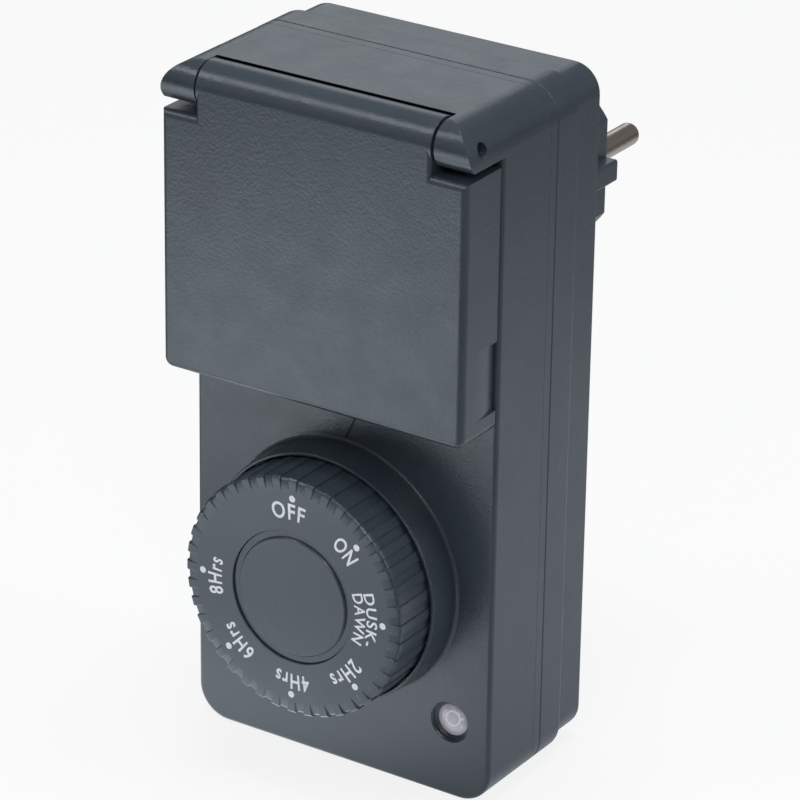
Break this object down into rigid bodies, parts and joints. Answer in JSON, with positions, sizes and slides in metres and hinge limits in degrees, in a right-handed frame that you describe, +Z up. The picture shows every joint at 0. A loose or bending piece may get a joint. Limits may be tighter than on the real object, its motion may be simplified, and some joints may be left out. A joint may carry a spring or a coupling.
{
  "type": "plug in timer switch",
  "caption": "Outdoor plug-in timer: splash-proof box with a socket under a hinged lid, knurled programme dial, light sensor and side-contact plug.",
  "frame": {"origin": "centre of the plug's face, between the two pins, where it lies on a wall socket's floor", "axes": "+Y into the wall along the pins, +Z up along the housing's height, +X to the right of someone facing the wall"},
  "size_m": [0.07, 0.1078, 0.1454],
  "materials": {
    "housing_plastic": "fine spark-eroded texture, anthracite",
    "lid_plastic": "fine spark-eroded texture, anthracite",
    "knob_plastic": "fine satin moulding, white pad print",
    "lens_plastic": "smoked translucent, white print",
    "seal_rubber": "soft black, slightly dusty",
    "plated_pins": "nickel plated, lightly brushed",
    "bare_steel": "zinc plated",
    "spring_steel": "drawn spring wire",
    "contact_brass": "bright stamped strip",
    "earth_strip": "nickel plated strip",
    "inner_plastic": "plain ivory moulding",
    "board_laminate": "green solder mask",
    "sensor_resin": "amber cast resin",
    "relay_case": "blue moulded case",
    "capacitor_case": "yellow moulded case",
    "capacitor_can": "drawn can with dark sleeve",
    "varistor_coat": "dipped blue lacquer",
    "fuse_glass": "clear tube with plated caps",
    "chip_resin": "black moulding resin"
  },
  "bodies": {
    "housing": {"front_shell": "housing_plastic", "rear_shell": "housing_plastic", "plug_body": "housing_plastic", "socket_insert": "housing_plastic", "sensor_lens": "lens_plastic", "shell_gasket": "seal_rubber", "lens_seal": "seal_rubber", "plug_pin_live": "plated_pins", "plug_pin_neutral": "plated_pins", "hinge_pin": "bare_steel", "housing_screws": "bare_steel", "board_screws": "bare_steel", "lid_spring": "spring_steel", "shutter_spring": "spring_steel", "socket_contact_live": "contact_brass", "socket_contact_neutral": "contact_brass", "live_busbar": "contact_brass", "neutral_busbar": "contact_brass", "plug_earth_strap": "earth_strip", "socket_earth_strap": "earth_strip", "earth_link": "earth_strip", "contact_carrier": "inner_plastic", "switch_body": "inner_plastic", "circuit_board": "board_laminate", "light_sensor": "sensor_resin", "relay": "relay_case", "film_capacitor": "capacitor_case", "smoothing_capacitor": "capacitor_can", "varistor": "varistor_coat", "fuse": "fuse_glass", "controller_chip": "chip_resin", "rectifier_diodes": "chip_resin"},
    "lid": {"lid": "lid_plastic", "lid_gasket": "seal_rubber"},
    "dial": {"dial_knob": "knob_plastic", "dial_cap": "knob_plastic", "dial_shaft": "inner_plastic", "dial_seal": "seal_rubber", "shaft_clip": "bare_steel", "switch_rotor": "inner_plastic"},
    "shutter": {"socket_shutter": "inner_plastic"}
  },
  "joints": [
    {"name": "lid_hinge", "type": "hinge", "parent": "housing", "child": "lid", "pos_m": [0, -0.0783, 0.0321], "axis": [-1, 0, 0], "range_deg": [0, 120], "stiffness_Nm_per_rad": 0.004, "springref_deg": -28.65, "deforming": ["lid_spring"]},
    {"name": "dial_turn", "type": "hinge", "parent": "housing", "child": "dial", "pos_m": [0, -0.075, -0.0649], "axis": [0, -1, 0], "range_deg": [0, 270]},
    {"name": "shutter_slide", "type": "slide", "parent": "housing", "child": "shutter", "axis": [1, 0, 0], "range_m": [0, 0.006], "stiffness_N_per_m": 40, "springref_m": -0.005, "deforming": ["shutter_spring"]}
  ]
}
